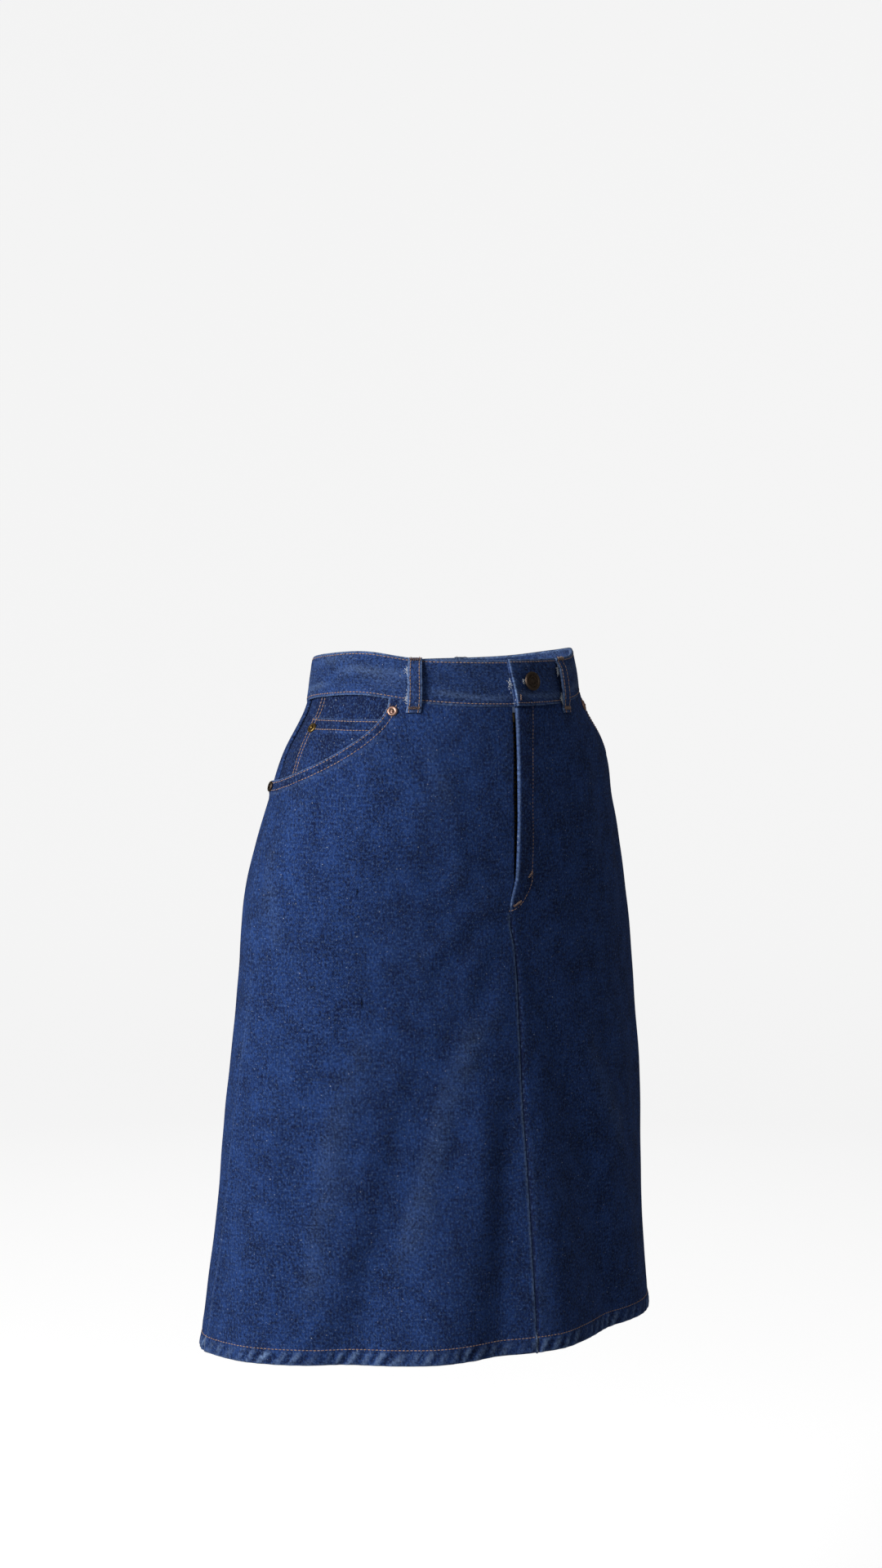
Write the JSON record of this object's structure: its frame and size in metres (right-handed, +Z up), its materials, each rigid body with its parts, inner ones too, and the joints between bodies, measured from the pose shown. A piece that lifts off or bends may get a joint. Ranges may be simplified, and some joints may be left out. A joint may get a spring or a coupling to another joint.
{
  "type": "denim skirt",
  "caption": "Knee-length A-line denim skirt in its worn, hollow shape, with waistband, belt loops, fly, scooped front pockets and coin pocket.",
  "frame": {"origin": "centre of the waistband's ring, at half the band's height at the centre front", "axes": "+Z up the wearer, -Y the way the wearer faces, +X towards the wearer's left"},
  "size_m": [0.4661, 0.2864, 0.6054],
  "materials": {
    "indigo_denim": "dark indigo cotton twill, right-hand diagonal, pale flecks and worn seam edges, orange-brown topstitching",
    "zip_tape": "navy woven polyester tape",
    "brass": "aged brass",
    "copper": "stamped copper with a brass nub",
    "antique_bronze": "dark antiqued bronze, stamped"
  },
  "bodies": {
    "root": {"front_right": "indigo_denim", "front_left": "indigo_denim", "back_right": "indigo_denim", "back_left": "indigo_denim", "hem_front_right": "indigo_denim", "hem_front_left": "indigo_denim", "hem_back_right": "indigo_denim", "hem_back_left": "indigo_denim", "waistband": "indigo_denim", "belt_loop_front_right": "indigo_denim", "belt_loop_front_left": "indigo_denim", "belt_loop_back_right": "indigo_denim", "belt_loop_back_left": "indigo_denim", "belt_loop_centre_back": "indigo_denim", "pocket_facing_right": "indigo_denim", "pocket_facing_left": "indigo_denim", "coin_pocket": "indigo_denim", "zip_tape": "zip_tape", "zip_chain": "brass", "zip_slider": "brass", "waist_button": "antique_bronze", "rivet_front_right": "copper", "rivet_front_left": "copper", "rivet_side_right": "antique_bronze", "rivet_side_left": "antique_bronze", "rivet_coin": "brass"}
  },
  "joints": []
}
